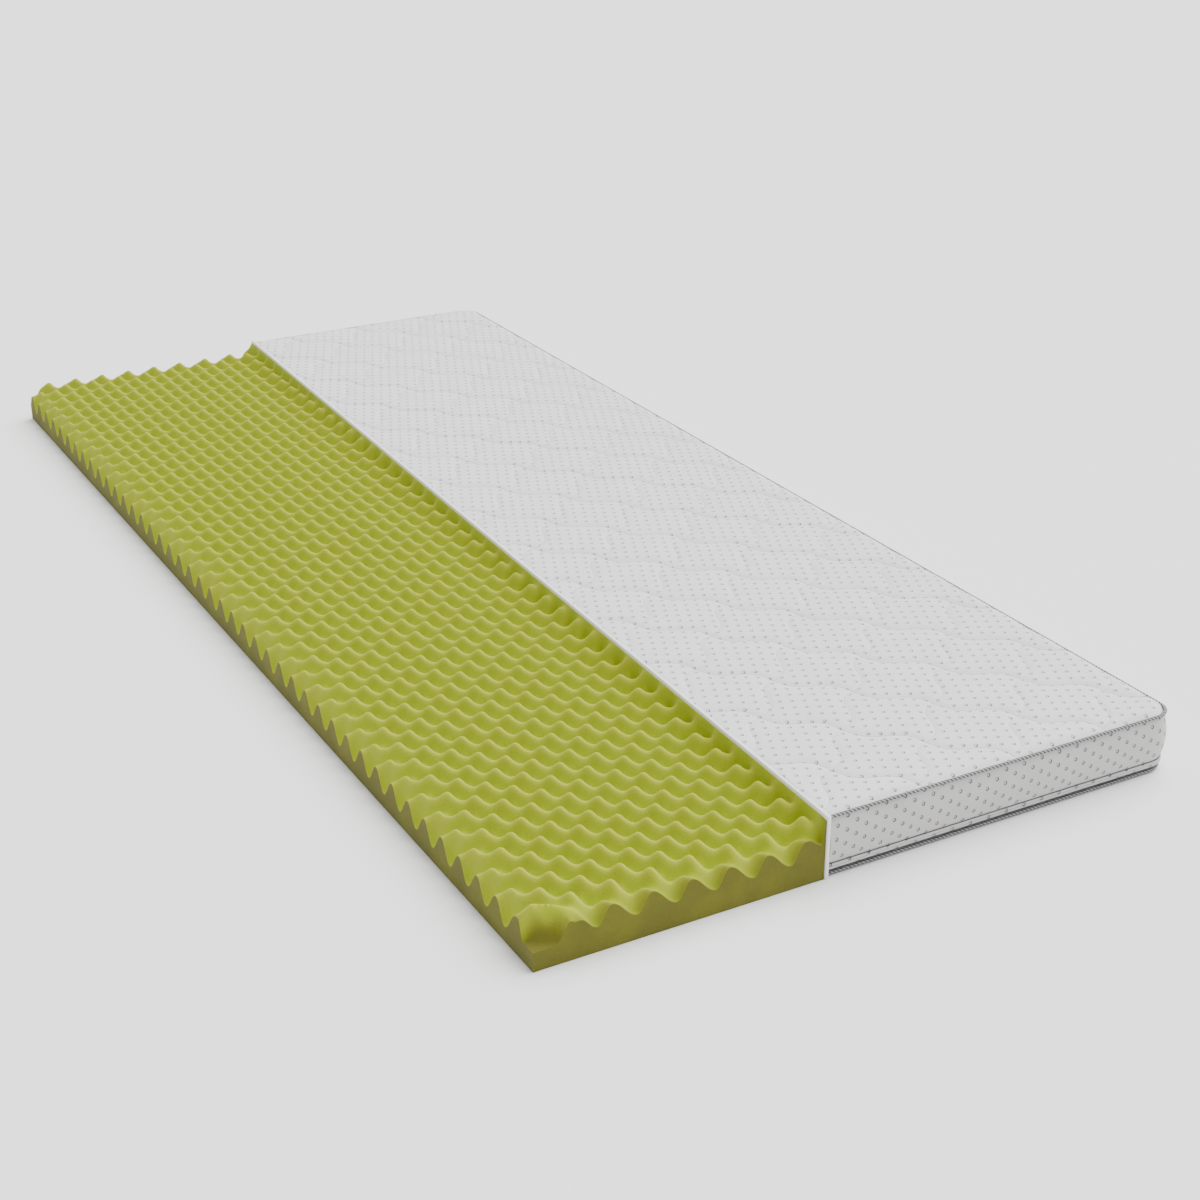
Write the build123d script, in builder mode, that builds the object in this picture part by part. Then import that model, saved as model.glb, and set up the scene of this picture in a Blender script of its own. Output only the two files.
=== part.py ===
from build123d import *
import os

# A convoluted foam mattress topper, half of it in a quilted cover that is cut open to show the foam.
# Millimetres. X runs across the width, Y along the length, Z up, and the origin is the middle of the
# footprint on the surface that the topper lies on. "Depth" is the distance inward from the outermost
# face of the cover.

# Whole object
WIDTH = 900.0
LENGTH = 2000.0
HEIGHT = 82.0
CORNER_RADIUS = 36.0
GAP = 0.3
SEAM_GAP = 0.1

# The cut through the cover: a straight line along the length, slightly out of square
CUT_X = -49.0
CUT_SLOPE = 0.0296
BINDING_WIDTH = 4.0

# Foam core
CORE_TOP = 66.0
BARE_DEPTH = 3.0
CORE_DEPTH = 9.5
RELIEF_DEPTH = 16.2
RELIEF_LOW = 13.0
RELIEF_HIGH = 26.0

# Layers of the bottom and top panels, from the surface that the topper lies on upwards
BOTTOM_FABRIC = 1.0
BOTTOM_PANEL = 3.0
TOP_PANEL = 66.6
TOP_BACKING = 0.5
TOP_FABRIC = 1.2
TOP_FACE = 81.6
TOP_WADDING_DEPTH = 10.0

# Border band, bowed outwards at mid height
BORDER_TOP = 75.4
BORDER_TOP_DEPTH = 5.0
BORDER_BOW = 44.0
BORDER_SEAM = 17.4
BORDER_SEAM_DEPTH = 3.6
BORDER_FABRIC = 1.2
BORDER_WADDING = 2.6
BACK_FOOT = 6.0
BACK_FOOT_DEPTH = 6.4

# Piping cords and the flat lips that hold them in the seams
TOP_CORD_RADIUS = 3.0
TOP_CORD_DEPTH = 5.0
TOP_CORD_Z = 78.8
TOP_LIP_DEPTH = 9.3
TOP_LIP_BEND = 77.0
BOTTOM_CORD_RADIUS = 2.6
BOTTOM_CORD_DEPTH = 7.0
BOTTOM_CORD_Z = 3.1
LIP = 0.4
LIP_REACH = 15.0

# Zip: the chain runs along the front and the right side, and ends short of the back corner
ZIP_Z = 7.7
ZIP_END = 905.0
COIL_END = 876.0
TAPE_DEPTH = 13.5
TAPE = 0.5
TAPE_BEND = 12.2
TAPE_SEWN_DEPTH = 8.2
TAPE_TOP = 22.0
CHAIN_GAP = 1.6
COIL_WIDTH = 1.5
COIL_THICKNESS = 2.0
FLAP_LOW = 9.8
FLAP_DEPTH = 3.4
FLAP_THICKNESS = 2.2
STOP_LENGTH = 3.0

# Zip slider and its pull tab, parked at the end of the chain
SLIDER_Y = 868.0
SLIDER_LENGTH = 11.0
SLIDER_WIDTH = 6.6
SLIDER_OUTER_DEPTH = 10.2
SLIDER_INNER_DEPTH = 15.2
OUTER_PLATE = 0.7
INNER_PLATE = 1.0
PLATE_CORNER = 2.0
RIM = 0.6
RIM_LENGTH = 7.0
DIVIDER_LENGTH = 4.0
DIVIDER_WIDTH = 1.0
BRIDGE_SPAN = 8.0
BRIDGE_BAR = 0.8
BRIDGE_HEIGHT = 2.8
BRIDGE_WIDTH = 1.2
PULL_LENGTH = 22.0
PULL_WIDTH = 3.2
PULL_THICKNESS = 1.0
PULL_EYE = 5.0
PULL_CORNER = 1.2
PULL_HOLE_RADIUS = 0.8
PULL_HOLE_INSET = 2.6
PULL_DEPTH = 9.2

# Binding tape
BINDING_REACH = 9.2

HALF_WIDTH = WIDTH / 2
HALF_LENGTH = LENGTH / 2

os.makedirs("parts", exist_ok=True)


def cut_x(y):
    """X of the cut line at a given Y."""
    return CUT_X + CUT_SLOPE * y


def save(piece, name):
    """Label a finished piece and write it as its own STEP file."""
    piece.part.label = name
    export_step(piece.part, f"parts/{name}.step")


def edge_section(path):
    """Plane across the start of an edge path, its x running inward and its y running up."""
    along = path % 0
    return Plane(origin=path @ 0, x_dir=Vector(0, 0, 1).cross(along), z_dir=along)


def covered_outline(depth, cut_gap):
    """Plan of the covered part at a depth, starting a little to one side of the cut line."""
    y = HALF_LENGTH - depth
    x = HALF_WIDTH - depth
    with BuildSketch() as outline:
        with BuildLine():
            edge = FilletPolyline(
                (cut_x(-y) + cut_gap, -y), (x, -y), (x, y), (cut_x(y) + cut_gap, y),
                radius=CORNER_RADIUS - depth,
            )
            Line(edge @ 1, edge @ 0)
        make_face()
    return outline.sketch


def cut_strip(depth):
    """Plan of the strip that the binding tape covers along the cut."""
    y = HALF_LENGTH - depth
    with BuildSketch() as strip:
        with BuildLine():
            Polyline(
                (cut_x(-y), -y), (cut_x(-y) + BINDING_WIDTH, -y),
                (cut_x(y) + BINDING_WIDTH, y), (cut_x(y), y), close=True,
            )
        make_face()
    return strip.sketch


def slab(plan, low, high):
    """A flat layer of a given plan between two heights."""
    with BuildPart() as layer:
        with BuildSketch(Plane.XY.offset(low)):
            add(plan)
        extrude(amount=high - low)
    return layer


# Paths around the cover's outermost edge, from the cut at the front to the cut at the back
front_start = cut_x(-HALF_LENGTH) + BINDING_WIDTH + 2 * GAP
back_start = cut_x(HALF_LENGTH) + BINDING_WIDTH + GAP
front_corner = (HALF_WIDTH, -HALF_LENGTH)
back_corner = (HALF_WIDTH, HALF_LENGTH)

with BuildLine() as whole_line:
    FilletPolyline(
        (front_start, -HALF_LENGTH), front_corner, back_corner, (back_start, HALF_LENGTH),
        radius=CORNER_RADIUS,
    )
with BuildLine() as zip_line:
    FilletPolyline(
        (front_start, -HALF_LENGTH), front_corner, (HALF_WIDTH, ZIP_END), radius=CORNER_RADIUS
    )
with BuildLine() as coil_line:
    FilletPolyline(
        (front_start, -HALF_LENGTH), front_corner, (HALF_WIDTH, COIL_END), radius=CORNER_RADIUS
    )
with BuildLine() as back_line:
    FilletPolyline(
        (HALF_WIDTH, ZIP_END), back_corner, (back_start, HALF_LENGTH), radius=CORNER_RADIUS
    )
with BuildLine() as relief_line:
    FilletPolyline(
        (front_start - 3 * BINDING_WIDTH, -HALF_LENGTH), front_corner, back_corner,
        (back_start - 3 * BINDING_WIDTH, HALF_LENGTH), radius=CORNER_RADIUS,
    )
whole_edge = whole_line.wire()
zip_edge = zip_line.wire()
coil_edge = coil_line.wire()
back_edge = back_line.wire()
relief_edge = relief_line.wire()

# Foam core: one block. Its lower edge is hollowed where the cover's zip lies, its covered part
# rests on the bottom panel, and its bare part rests on the floor.
with BuildPart() as foam_core:
    with BuildSketch(Plane.XY.offset(BOTTOM_PANEL + GAP)):
        add(covered_outline(CORE_DEPTH, -2 * GAP))
    extrude(amount=CORE_TOP - BOTTOM_PANEL - GAP)
    with BuildSketch(edge_section(relief_edge)):
        with BuildLine():
            Polyline(
                (0, 0), (RELIEF_DEPTH, 0), (RELIEF_DEPTH, RELIEF_LOW), (CORE_DEPTH, RELIEF_HIGH),
                (0, RELIEF_HIGH), close=True,
            )
        make_face()
    sweep(path=relief_edge, mode=Mode.SUBTRACT)
    bare_y = HALF_LENGTH - BARE_DEPTH
    with BuildSketch(Plane.XY):
        with BuildLine():
            Polyline(
                (-HALF_WIDTH, -bare_y), (cut_x(-bare_y) - 2 * GAP, -bare_y),
                (cut_x(bare_y) - 2 * GAP, bare_y), (-HALF_WIDTH, bare_y), close=True,
            )
        make_face()
    extrude(amount=CORE_TOP)
save(foam_core, "foam_core")

# Top panel: backing, wadding and knitted fabric, quilted together and sewn to the piping
top_seam = TOP_CORD_DEPTH + TOP_CORD_RADIUS + SEAM_GAP
fabric_plan = covered_outline(top_seam, BINDING_WIDTH + GAP)
wadding_plan = covered_outline(TOP_WADDING_DEPTH, BINDING_WIDTH + GAP)
wadding_low = TOP_PANEL + TOP_BACKING
wadding_high = TOP_FACE - TOP_FABRIC
save(slab(wadding_plan, TOP_PANEL, wadding_low), "top_backing")
save(slab(wadding_plan, wadding_low, wadding_high), "top_wadding")
save(slab(fabric_plan, wadding_high, TOP_FACE), "top_fabric")

# Bottom panel: knitted fabric with a thinner wadding
bottom_seam = BOTTOM_CORD_DEPTH + BOTTOM_CORD_RADIUS + SEAM_GAP
bottom_plan = covered_outline(bottom_seam, BINDING_WIDTH + GAP)
save(slab(bottom_plan, 0, BOTTOM_FABRIC), "bottom_fabric")
save(slab(bottom_plan, BOTTOM_FABRIC, BOTTOM_PANEL), "bottom_wadding")


def border_layer(path, outer, inner, has_foot):
    """A layer of the border band between two depths, with a foot where no zip lies below it."""
    top = BORDER_TOP_DEPTH
    seam = BORDER_SEAM_DEPTH
    with BuildPart() as layer:
        with BuildSketch(edge_section(path)):
            with BuildLine():
                face = ThreePointArc(
                    (top + outer, BORDER_TOP), (outer, BORDER_BOW), (seam + outer, BORDER_SEAM)
                )
                back = ThreePointArc(
                    (top + inner, BORDER_TOP), (inner, BORDER_BOW), (seam + inner, BORDER_SEAM)
                )
                Line(face @ 0, back @ 0)
                if has_foot:
                    Polyline(
                        face @ 1, (BACK_FOOT_DEPTH + outer, BACK_FOOT),
                        (BACK_FOOT_DEPTH + inner, BACK_FOOT), back @ 1,
                    )
                else:
                    Line(face @ 1, back @ 1)
            make_face()
        sweep(path=path)
    return layer


# Border band: fabric over wadding, in two lengths joined at an upright seam where the zip ends
border_inner = BORDER_FABRIC + BORDER_WADDING
save(border_layer(zip_edge, 0, BORDER_FABRIC, False), "border_fabric_zip_side")
save(border_layer(zip_edge, BORDER_FABRIC, border_inner, False), "border_wadding_zip_side")
save(border_layer(back_edge, 0, BORDER_FABRIC, True), "border_fabric_back")
save(border_layer(back_edge, BORDER_FABRIC, border_inner, True), "border_wadding_back")


def cord(depth, z, radius):
    """A piping cord all the way round the cover's edge."""
    with BuildPart() as rope:
        with BuildSketch(edge_section(whole_edge)):
            with Locations((depth, z)):
                Circle(radius)
        sweep(path=whole_edge)
    return rope


def flat_strip(path, near, far, low, high):
    """A strip of rectangular section along an edge path."""
    with BuildPart() as strip:
        with BuildSketch(edge_section(path)):
            with Locations(((near + far) / 2, (low + high) / 2)):
                Rectangle(far - near, high - low)
        sweep(path=path)
    return strip


def bent_strip(path, points, thickness):
    """A strip of tape along an edge path, whose section follows a line of points."""
    with BuildPart() as tape:
        with BuildSketch(edge_section(path)):
            with BuildLine():
                Polyline(*points)
            trace(line_width=thickness)
        sweep(path=path)
    return tape


# Piping: a twisted cord and its lip in the top seam, and the same in the bottom seam
save(cord(TOP_CORD_DEPTH, TOP_CORD_Z, TOP_CORD_RADIUS), "top_piping_cord")
save(cord(BOTTOM_CORD_DEPTH, BOTTOM_CORD_Z, BOTTOM_CORD_RADIUS), "bottom_piping_cord")
bottom_lip_high = BOTTOM_PANEL + LIP
top_lip_points = [
    (top_seam + 2 * SEAM_GAP, TOP_LIP_BEND + 1), (TOP_LIP_DEPTH, TOP_LIP_BEND),
    (TOP_LIP_DEPTH, TOP_PANEL + GAP),
]
save(bent_strip(whole_edge, top_lip_points, LIP), "top_piping_lip")
bottom_lip = flat_strip(whole_edge, bottom_seam, LIP_REACH, BOTTOM_PANEL, bottom_lip_high)
save(bottom_lip, "bottom_piping_lip")

# Zip flap: a folded strip of fabric that hangs over the chain from the border's lower seam
with BuildPart() as zip_flap:
    with BuildSketch(edge_section(zip_edge)):
        fold_radius = FLAP_THICKNESS / 2
        fold_z = FLAP_LOW + fold_radius
        flap_top = BORDER_SEAM - 2 * SEAM_GAP
        inner_face = FLAP_DEPTH + FLAP_THICKNESS
        with BuildLine():
            ThreePointArc(
                (FLAP_DEPTH, fold_z), (FLAP_DEPTH + fold_radius, FLAP_LOW), (inner_face, fold_z)
            )
            Polyline(
                (inner_face, fold_z), (inner_face, flap_top), (FLAP_DEPTH, flap_top),
                (FLAP_DEPTH, fold_z),
            )
        make_face()
    sweep(path=zip_edge)
save(zip_flap, "zip_flap")


# Zip tapes: the upper one is sewn behind the flap, the lower one into the bottom seam
tape_low = ZIP_Z - CHAIN_GAP / 2
tape_high = ZIP_Z + CHAIN_GAP / 2
upper_points = [
    (TAPE_DEPTH, tape_high), (TAPE_DEPTH, TAPE_BEND), (TAPE_SEWN_DEPTH, BORDER_SEAM),
    (TAPE_SEWN_DEPTH, TAPE_TOP),
]
seam_z = bottom_lip_high + SEAM_GAP + TAPE / 2
lower_points = [(bottom_seam + SEAM_GAP, seam_z), (TAPE_DEPTH, seam_z), (TAPE_DEPTH, tape_low)]
save(bent_strip(zip_edge, upper_points, TAPE), "zip_tape_upper")
save(bent_strip(zip_edge, lower_points, TAPE), "zip_tape_lower")

# Zip chain: one coil along the edge of each tape, with the slider's divider running between them
coil_far = TAPE_DEPTH - TAPE / 2
coil_near = coil_far - COIL_THICKNESS
upper_coil = flat_strip(coil_edge, coil_near, coil_far, tape_high, tape_high + COIL_WIDTH)
lower_coil = flat_strip(coil_edge, coil_near, coil_far, tape_low - COIL_WIDTH, tape_low)
save(upper_coil, "zip_coil_upper")
save(lower_coil, "zip_coil_lower")

# End stops: one small clip on each tape, just past the end of the coils
with BuildPart() as zip_end_stops:
    with BuildSketch(Plane.XY.offset(ZIP_Z + CHAIN_GAP / 2)) as stop_plan:
        with Locations((HALF_WIDTH - (coil_near + coil_far) / 2, COIL_END + GAP + STOP_LENGTH / 2)):
            Rectangle(COIL_THICKNESS, STOP_LENGTH)
    extrude(amount=COIL_WIDTH)
    mirror(about=Plane.XY.offset(ZIP_Z))
save(zip_end_stops, "zip_end_stops")

# Binding tape over the cut edges of the cover: along the top, the bottom, and down each end
save(slab(cut_strip(BINDING_REACH), TOP_PANEL, HEIGHT), "binding_top")
save(slab(cut_strip(BINDING_REACH), 0, BOTTOM_PANEL), "binding_bottom")


def end_binding(side):
    """The upright binding at the front (side -1) or the back (side 1)."""
    start = cut_x(side * HALF_LENGTH)
    face_plane = Plane(origin=(start, side * HALF_LENGTH, 0), x_dir=(0, -side, 0), z_dir=(-side, 0, 0))
    with BuildPart() as tape:
        with BuildSketch(face_plane):
            with BuildLine():
                bow = ThreePointArc(
                    (BORDER_SEAM_DEPTH, BORDER_SEAM), (0, BORDER_BOW), (BORDER_TOP_DEPTH, BORDER_TOP)
                )
                Polyline(
                    bow @ 1, (TOP_CORD_DEPTH - TOP_CORD_RADIUS, TOP_CORD_Z),
                    (TOP_CORD_DEPTH, HEIGHT), (BINDING_REACH, HEIGHT), (BINDING_REACH, 0),
                    (BOTTOM_CORD_DEPTH - BOTTOM_CORD_RADIUS, 0), bow @ 0,
                )
            make_face()
        extrude(amount=-side * BINDING_WIDTH)
    return tape


save(end_binding(-1), "binding_front")
save(end_binding(1), "binding_back")

# Zip slider: an outer and an inner plate joined by the divider, rims that guide the coils, and a
# bridge for the pull tab
right = HALF_WIDTH
rim_depth = TAPE_DEPTH - TAPE / 2 - GAP - SLIDER_OUTER_DEPTH
divider_depth = SLIDER_INNER_DEPTH - SLIDER_OUTER_DEPTH
with BuildPart() as zip_slider:
    with BuildSketch(Plane.YZ.offset(right - SLIDER_OUTER_DEPTH)):
        with Locations((SLIDER_Y, ZIP_Z)):
            RectangleRounded(SLIDER_LENGTH, SLIDER_WIDTH, PLATE_CORNER)
    extrude(amount=-OUTER_PLATE)
    with BuildSketch(Plane.YZ.offset(right - SLIDER_INNER_DEPTH)):
        with Locations((SLIDER_Y, ZIP_Z)):
            RectangleRounded(SLIDER_LENGTH, SLIDER_WIDTH, PLATE_CORNER)
    extrude(amount=INNER_PLATE)
    with BuildSketch(Plane.YZ.offset(right - SLIDER_OUTER_DEPTH)):
        rim_z = (SLIDER_WIDTH - RIM) / 2
        with Locations((SLIDER_Y, ZIP_Z - rim_z), (SLIDER_Y, ZIP_Z + rim_z)):
            Rectangle(RIM_LENGTH, RIM)
    extrude(amount=-rim_depth)
    with BuildSketch(Plane.YZ.offset(right - SLIDER_OUTER_DEPTH)):
        with Locations((SLIDER_Y, ZIP_Z)):
            SlotOverall(DIVIDER_LENGTH, DIVIDER_WIDTH)
    extrude(amount=-divider_depth)
    with BuildSketch(Plane.XY.offset(ZIP_Z - BRIDGE_WIDTH / 2)):
        bridge_x = right - SLIDER_OUTER_DEPTH + BRIDGE_HEIGHT / 2
        with Locations((bridge_x, SLIDER_Y)):
            Rectangle(BRIDGE_HEIGHT, BRIDGE_SPAN)
        with Locations((bridge_x - BRIDGE_BAR / 2, SLIDER_Y)):
            Rectangle(BRIDGE_HEIGHT - BRIDGE_BAR, BRIDGE_SPAN - 2 * BRIDGE_BAR, mode=Mode.SUBTRACT)
    extrude(amount=BRIDGE_WIDTH)
save(zip_slider, "zip_slider_body")

# Pull tab: a flat tab whose eye runs round the slider's bridge
with BuildPart() as zip_pull:
    with BuildSketch(Plane.YZ.offset(right - PULL_DEPTH - PULL_THICKNESS / 2)) as pull_face:
        bar = PULL_THICKNESS / 2
        with Locations((SLIDER_Y + bar - (PULL_LENGTH + bar) / 2, ZIP_Z)):
            Rectangle(PULL_LENGTH + bar, PULL_WIDTH)
        with Locations((SLIDER_Y - (PULL_EYE + bar) / 2, ZIP_Z)):
            Rectangle(PULL_EYE - bar, BRIDGE_WIDTH + 2 * GAP, mode=Mode.SUBTRACT)
        fillet(pull_face.vertices().group_by(Axis.X)[0], radius=PULL_CORNER)
        with Locations((SLIDER_Y - PULL_LENGTH + PULL_HOLE_INSET, ZIP_Z)):
            Circle(PULL_HOLE_RADIUS, mode=Mode.SUBTRACT)
    extrude(amount=PULL_THICKNESS)
save(zip_pull, "zip_pull_tab")
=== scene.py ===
import math

import bmesh
import bpy
import numpy as np
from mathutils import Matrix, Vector


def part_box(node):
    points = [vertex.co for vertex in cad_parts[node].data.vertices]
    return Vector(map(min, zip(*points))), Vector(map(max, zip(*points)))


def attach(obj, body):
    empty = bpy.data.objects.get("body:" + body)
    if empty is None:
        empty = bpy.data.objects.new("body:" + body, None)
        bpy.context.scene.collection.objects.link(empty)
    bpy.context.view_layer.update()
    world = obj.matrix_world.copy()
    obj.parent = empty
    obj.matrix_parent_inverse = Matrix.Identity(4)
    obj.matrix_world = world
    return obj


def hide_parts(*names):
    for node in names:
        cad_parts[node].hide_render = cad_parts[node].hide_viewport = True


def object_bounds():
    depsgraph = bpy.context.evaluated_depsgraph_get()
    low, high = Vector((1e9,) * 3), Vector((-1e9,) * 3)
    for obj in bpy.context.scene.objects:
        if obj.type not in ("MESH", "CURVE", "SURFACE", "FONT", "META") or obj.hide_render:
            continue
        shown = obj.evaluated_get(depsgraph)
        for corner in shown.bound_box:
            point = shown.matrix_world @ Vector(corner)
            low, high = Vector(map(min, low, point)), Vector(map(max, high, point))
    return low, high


# A convoluted foam mattress topper, half of it in a quilted cover that is cut open to show the foam.
# Shapes are worked out in millimetres and turned into metres when a mesh is made.

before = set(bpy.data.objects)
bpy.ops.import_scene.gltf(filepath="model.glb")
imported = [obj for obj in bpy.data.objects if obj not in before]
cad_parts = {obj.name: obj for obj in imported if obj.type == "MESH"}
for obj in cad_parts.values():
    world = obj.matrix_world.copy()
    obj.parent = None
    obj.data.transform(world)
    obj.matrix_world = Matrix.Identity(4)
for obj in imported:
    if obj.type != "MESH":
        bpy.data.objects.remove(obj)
cad_low, cad_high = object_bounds()
scene = bpy.context.scene

MM = 0.001
TURN = 2 * math.pi


def box_mm(node):
    """Lowest and highest corner of a CAD node, in millimetres."""
    low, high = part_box(node)
    return low / MM, high / MM


# ---------------------------------------------------------------- camera

AZIMUTH = math.radians(-29.175)
ELEVATION = math.radians(24.638)
DISTANCE = 2.969
TARGET = Vector((0.0694, -0.2113, 0.0))

camera_data = bpy.data.cameras.new("camera")
camera_data.lens = 60.4
camera_data.sensor_width = 36.0
camera = bpy.data.objects.new("camera", camera_data)
scene.collection.objects.link(camera)
back_from_target = Vector((
    math.sin(AZIMUTH) * math.cos(ELEVATION),
    -math.cos(AZIMUTH) * math.cos(ELEVATION),
    math.sin(ELEVATION),
))
camera.location = TARGET + back_from_target * DISTANCE
camera.rotation_euler = (-back_from_target).to_track_quat("-Z", "Y").to_euler()
scene.camera = camera

# ---------------------------------------------------------------- sizes read from the CAD frame

HALF_W = cad_high.x / MM
HALF_L = cad_high.y / MM
CORNER = 36.0
CORNER_X = HALF_W - CORNER
CORNER_Y = HALF_L - CORNER

front_binding_low, front_binding_high = box_mm("binding_front")
back_binding_low, back_binding_high = box_mm("binding_back")
CUT_FRONT = front_binding_low.x
CUT_BACK = back_binding_low.x
BINDING = front_binding_high.x - front_binding_low.x
TAPE_LAP = 0.6
TAPE = BINDING + TAPE_LAP
BINDING_DEPTH = HALF_L + front_binding_high.y
FRONT_START = box_mm("border_fabric_zip_side")[0].x + TAPE_LAP
BACK_START = box_mm("border_fabric_back")[0].x + TAPE_LAP
ZIP_END_Y = box_mm("border_fabric_zip_side")[1].y
COIL_END_Y = box_mm("zip_coil_upper")[1].y
BORDER_LOW = box_mm("border_fabric_zip_side")[0].z
BORDER_HIGH = box_mm("border_fabric_zip_side")[1].z
BORDER_FOOT = box_mm("border_fabric_back")[0].z
BOW_Z = 44.0
BOW_TOP = 5.0
BOW_SEAM = 3.6
FOOT_DEPTH = 6.4

foam_low, foam_high = box_mm("foam_core")
FOAM_LEFT = foam_low.x
FOAM_BARE_DEPTH = HALF_L - foam_high.y
FOAM_DEPTH = HALF_W - foam_high.x
FOAM_BOTTOM = box_mm("bottom_wadding")[1].z + 0.3
FOAM_TOP = foam_high.z

TOP_FACE = box_mm("top_fabric")[1].z
PANEL_LOW = box_mm("top_backing")[0].z
SCRIM_HIGH = box_mm("top_backing")[1].z
PANEL_DEPTH = HALF_W - box_mm("top_fabric")[1].x
WADDING_DEPTH = HALF_W - box_mm("top_wadding")[1].x
BOTTOM_HIGH = box_mm("bottom_wadding")[1].z
BOTTOM_SPLIT = box_mm("bottom_fabric")[1].z
BOTTOM_DEPTH = HALF_W - box_mm("bottom_fabric")[1].x


def cut_x(y):
    """X of the cut through the cover at a given Y."""
    return CUT_FRONT + (CUT_BACK - CUT_FRONT) * (y + HALF_L) / (2 * HALF_L)


# ---------------------------------------------------------------- mesh helpers


def add_piece(name, points, faces, body, nodes, sharp=45.0, uv=None):
    """A mesh piece from points in millimetres, riding on a body and standing for CAD nodes."""
    mesh = bpy.data.meshes.new(name)
    mesh.from_pydata((np.asarray(points, float) * MM).tolist(), [], faces)
    work = bmesh.new()
    work.from_mesh(mesh)
    bmesh.ops.recalc_face_normals(work, faces=work.faces)
    work.to_mesh(mesh)
    work.free()
    mesh.polygons.foreach_set("use_smooth", np.ones(len(mesh.polygons), bool))
    mesh.set_sharp_from_angle(angle=math.radians(sharp))
    if uv is not None:
        layer = mesh.uv_layers.new(name="surface")
        corner = np.zeros(len(mesh.loops), np.int32)
        mesh.loops.foreach_get("vertex_index", corner)
        layer.data.foreach_set("uv", (np.asarray(uv, float)[corner] * MM).ravel())
    piece = bpy.data.objects.new(name, mesh)
    scene.collection.objects.link(piece)
    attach(piece, body)
    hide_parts(*nodes)
    return piece


def loft_faces(rings, width):
    """Faces of a closed solid through rings, each running out along one side and back on the other."""
    index = np.arange(rings * width).reshape(rings, width)
    near = index[:-1]
    far = index[1:]
    sides = np.stack([near, np.roll(near, -1, 1), np.roll(far, -1, 1), far], -1).reshape(-1, 4)
    faces = sides.tolist()
    for ring in (index[0], index[-1]):
        for k in range(width // 2 - 1):
            faces.append([ring[k], ring[k + 1], ring[width - 2 - k], ring[width - 1 - k]])
    return [[int(i) for i in face] for face in faces]


def edge(s):
    """Points on the cover's outermost edge, s along it from the cut at the front, and inward."""
    s = np.asarray(s, float)
    first = CORNER_X - FRONT_START
    arc = CORNER * math.pi / 2
    side = 2 * CORNER_Y
    on_arc = (s - first) / CORNER
    on_side = s - first - arc
    on_arc_2 = (s - first - arc - side) / CORNER
    on_back = s - first - 2 * arc - side
    pick = [s < first, s < first + arc, s < first + arc + side, s < first + 2 * arc + side]
    inward_x = np.select(pick, [0 * s, -np.sin(on_arc), 0 * s - 1, -np.cos(on_arc_2)], 0 * s)
    inward_y = np.select(pick, [0 * s + 1, np.cos(on_arc), 0 * s, -np.sin(on_arc_2)], 0 * s - 1)
    corner_x = np.select(pick, [FRONT_START + s, 0 * s + CORNER_X, 0 * s + CORNER_X, 0 * s + CORNER_X],
                         CORNER_X - on_back)
    corner_y = np.select(pick, [0 * s - CORNER_Y, 0 * s - CORNER_Y, on_side - CORNER_Y, 0 * s + CORNER_Y],
                         0 * s + CORNER_Y)
    return corner_x - CORNER * inward_x, corner_y - CORNER * inward_y, inward_x, inward_y


WHOLE_EDGE = (CORNER_X - FRONT_START) + CORNER * math.pi + 2 * CORNER_Y + (CORNER_X - BACK_START)
ZIP_EDGE = (CORNER_X - FRONT_START) + CORNER * math.pi / 2 + CORNER_Y + ZIP_END_Y
COIL_EDGE = (CORNER_X - FRONT_START) + CORNER * math.pi / 2 + CORNER_Y + COIL_END_Y


def edge_points(s, depth, z):
    """Points at a depth inward from the outermost edge and at a height."""
    x, y, inward_x, inward_y = edge(s)
    return np.stack([x + inward_x * depth, y + inward_y * depth, z + 0 * x], -1)


def edge_loft(name, s, outer, inner, body, nodes, sharp=45.0):
    """A closed strip along the edge. outer and inner give (depth, z) lines at each s."""
    rings = []
    notes = []
    for line in (outer, inner[:, ::-1]):
        for k in range(line.shape[1]):
            rings.append(edge_points(s, line[:, k, 0], line[:, k, 1]))
            notes.append(np.stack([s, line[:, k, 1]], -1))
    points = np.stack(rings, 1)
    uv = np.stack(notes, 1)
    faces = loft_faces(points.shape[0], points.shape[1])
    return add_piece(name, points.reshape(-1, 3), faces, body, nodes, sharp, uv.reshape(-1, 2))


def lines(s, pairs):
    """A (depth, z) line repeated at every s, as an array that can then be varied along s."""
    return np.repeat(np.asarray(pairs, float)[None], len(s), 0)


def rolling(t, seed):
    """A smooth wandering value between about -1 and 1, the same in every run."""
    waves = ((0.37, 1.0), (0.83, 0.6), (1.71, 0.4), (3.3, 0.22))
    total = sum(size * np.sin(t * rate + seed * (1.7 + 2.3 * rate)) for rate, size in waves)
    return total / 1.6


def sample_rows(depth, step):
    """Y of the rows of a plan grid: even, and closer together round the corners."""
    reach = HALF_L - depth
    middle = np.linspace(-CORNER_Y, CORNER_Y, int(2 * CORNER_Y / step) + 1)
    turn = np.linspace(0, math.pi / 2, int((reach - CORNER_Y) / step * 1.45) + 2)[1:]
    end = CORNER_Y + (reach - CORNER_Y) * np.sin(turn)
    return np.concatenate([-end[::-1], middle, end])


def right_edge(y, depth):
    """X of the covered plan's right-hand edge at a depth."""
    radius = CORNER - depth
    over = np.clip(np.abs(y) - CORNER_Y, 0, radius)
    return CORNER_X + np.sqrt(np.maximum(radius ** 2 - over ** 2, 0))


def plan_depth(x, y):
    """Depth of plan points from the cover's outermost edge, up to the corner radius."""
    from_x = np.maximum(x - CORNER_X, 0)
    from_y = np.maximum(np.abs(y) - CORNER_Y, 0)
    return CORNER - np.hypot(from_x, from_y)


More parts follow.
